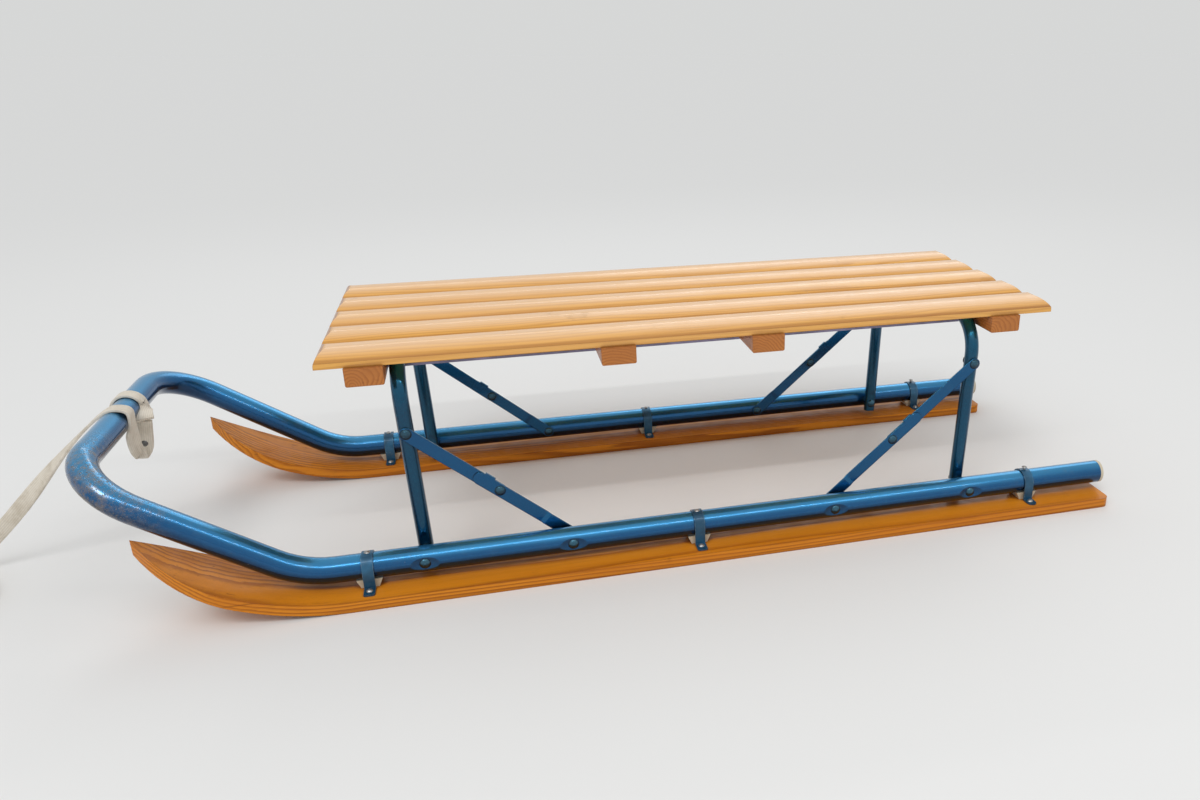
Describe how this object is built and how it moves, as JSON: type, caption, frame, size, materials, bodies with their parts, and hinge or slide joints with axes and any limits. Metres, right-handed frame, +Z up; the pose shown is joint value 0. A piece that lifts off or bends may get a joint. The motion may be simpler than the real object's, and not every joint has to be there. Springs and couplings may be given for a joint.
{
  "type": "folding sled",
  "caption": "Folding sled with wooden runners, a bent steel tube frame, a slatted wooden seat and hinged legs with locking stays",
  "frame": {"origin": "on the ground, in the middle of the sled's length and width", "axes": "+X forward to the tow bar, +Y to the sled's left, +Z up"},
  "size_m": [1.4384, 0.402, 0.2629],
  "materials": {
    "frame_paint": "metallic blue paint with a gloss coat, worn and chipped",
    "clamp_paint": "dark blue paint, worn at the edges",
    "guide_paint": "grey paint, satin",
    "rivet_steel": "zinc plated",
    "seat_wood": "varnished pine, weathered",
    "runner_wood": "varnished pine, darkened",
    "cream_plastic": "aged, satin",
    "dark_plastic": "satin",
    "strap_webbing": "woven webbing, cream and a little soiled"
  },
  "bodies": {
    "base": {"rail_frame": "frame_paint", "rail_cap_left": "cream_plastic", "rail_cap_right": "cream_plastic", "runner_left": "runner_wood", "runner_right": "runner_wood", "clamp_front_left": "clamp_paint", "clamp_front_right": "clamp_paint", "clamp_middle_left": "clamp_paint", "clamp_middle_right": "clamp_paint", "clamp_rear_left": "clamp_paint", "clamp_rear_right": "clamp_paint", "clamp_screws_left": "rivet_steel", "clamp_screws_right": "rivet_steel", "saddles_left": "cream_plastic", "saddles_right": "cream_plastic", "leg_pivot_rivets": "rivet_steel", "stay_pivot_rivets": "rivet_steel", "pull_strap": "strap_webbing", "strap_coil": "strap_webbing", "strap_loop": "strap_webbing", "strap_rivet": "rivet_steel"},
    "front_leg": {"front_leg": "frame_paint", "front_leg_rivets": "rivet_steel"},
    "rear_leg": {"rear_leg": "frame_paint", "rear_leg_rivets": "rivet_steel"},
    "front_glides": {"front_glides": "dark_plastic"},
    "rear_glides": {"rear_glides": "dark_plastic"},
    "seat": {"slat_1": "seat_wood", "slat_2": "seat_wood", "slat_3": "seat_wood", "slat_4": "seat_wood", "slat_5": "seat_wood", "batten_1": "seat_wood", "batten_2": "seat_wood", "batten_3": "seat_wood", "batten_4": "seat_wood", "guide_left": "guide_paint", "guide_right": "guide_paint"},
    "front_lower_links": {"front_lower_links": "frame_paint", "front_knee_pins_outer": "rivet_steel"},
    "front_upper_links": {"front_upper_links": "frame_paint", "front_knee_pins_inner": "rivet_steel"},
    "rear_lower_links": {"rear_lower_links": "frame_paint", "rear_knee_pins_outer": "rivet_steel"},
    "rear_upper_links": {"rear_upper_links": "frame_paint", "rear_knee_pins_inner": "rivet_steel"}
  },
  "joints": [
    {"name": "front_fold", "type": "hinge", "parent": "base", "child": "front_leg", "pos_m": [0.25266, 0, 0.032], "axis": [0, -1, 0], "range_deg": [0, 78]},
    {"name": "rear_fold", "type": "hinge", "parent": "base", "child": "rear_leg", "pos_m": [-0.38634, 0, 0.032], "axis": [0, 1, 0], "range_deg": [0, 78]},
    {"name": "front_glide_turn", "type": "hinge", "parent": "front_leg", "child": "front_glides", "pos_m": [0.25987, 0, 0.23837], "axis": [0, 1, 0], "range_deg": [0, 78]},
    {"name": "rear_glide_turn", "type": "hinge", "parent": "rear_leg", "child": "rear_glides", "pos_m": [-0.39355, 0, 0.23837], "axis": [0, -1, 0], "range_deg": [0, 78]},
    {"name": "seat_slide", "type": "slide", "parent": "front_glides", "child": "seat", "axis": [1, 0, 0], "range_m": [0, 0.18858]},
    {"name": "front_lower_turn", "type": "hinge", "parent": "base", "child": "front_lower_links", "pos_m": [0.09666, 0, 0.032], "axis": [0, -1, 0], "range_deg": [0, 126.49]},
    {"name": "front_upper_turn", "type": "hinge", "parent": "front_leg", "child": "front_upper_links", "pos_m": [0.25744, 0, 0.16892], "axis": [0, 1, 0], "range_deg": [0, 112.69]},
    {"name": "rear_lower_turn", "type": "hinge", "parent": "base", "child": "rear_lower_links", "pos_m": [-0.21034, 0, 0.032], "axis": [0, 1, 0], "range_deg": [0, 132.43]},
    {"name": "rear_upper_turn", "type": "hinge", "parent": "rear_leg", "child": "rear_upper_links", "pos_m": [-0.39178, 0, 0.1879], "axis": [0, -1, 0], "range_deg": [0, 107.85]}
  ],
  "couplings": [
    {"joint": "rear_fold", "follows": "front_fold", "ratio": 1},
    {"joint": "front_glide_turn", "follows": "front_fold", "ratio": 1},
    {"joint": "rear_glide_turn", "follows": "front_fold", "ratio": 1},
    {"joint": "seat_slide", "follows": "front_fold", "m_per_rad": 0.13852},
    {"joint": "front_lower_turn", "follows": "front_fold", "ratio": 1.6216},
    {"joint": "front_upper_turn", "follows": "front_fold", "ratio": 1.4446},
    {"joint": "rear_lower_turn", "follows": "front_fold", "ratio": 1.6977},
    {"joint": "rear_upper_turn", "follows": "front_fold", "ratio": 1.3826}
  ]
}
